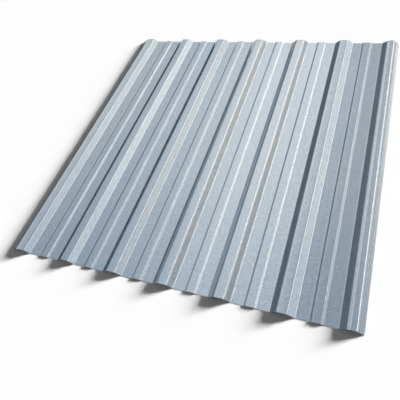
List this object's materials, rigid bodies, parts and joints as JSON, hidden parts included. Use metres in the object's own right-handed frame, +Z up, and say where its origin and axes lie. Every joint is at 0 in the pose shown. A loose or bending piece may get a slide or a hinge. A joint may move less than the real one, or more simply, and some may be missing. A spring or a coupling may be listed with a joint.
{
  "type": "corrugated metal sheet",
  "caption": "Flat-lying trapezoidal ribbed steel sheet with a low swage along each pan, an overlap rib on one side and an underlap rib on the other.",
  "frame": {"origin": "middle of the sheet's footprint, on the plane that the undersides of the pans rest on", "axes": "+X across the ribs towards the underlap rib, +Y along the ribs, +Z up from the pans towards the rib tops"},
  "size_m": [0.9614, 1, 0.0125],
  "materials": {
    "coated_steel": "zinc-aluminium coated steel, satin, blue-grey, with a fine metallic grain"
  },
  "bodies": {
    "root": {"corrugated_sheet": "coated_steel"}
  },
  "joints": []
}
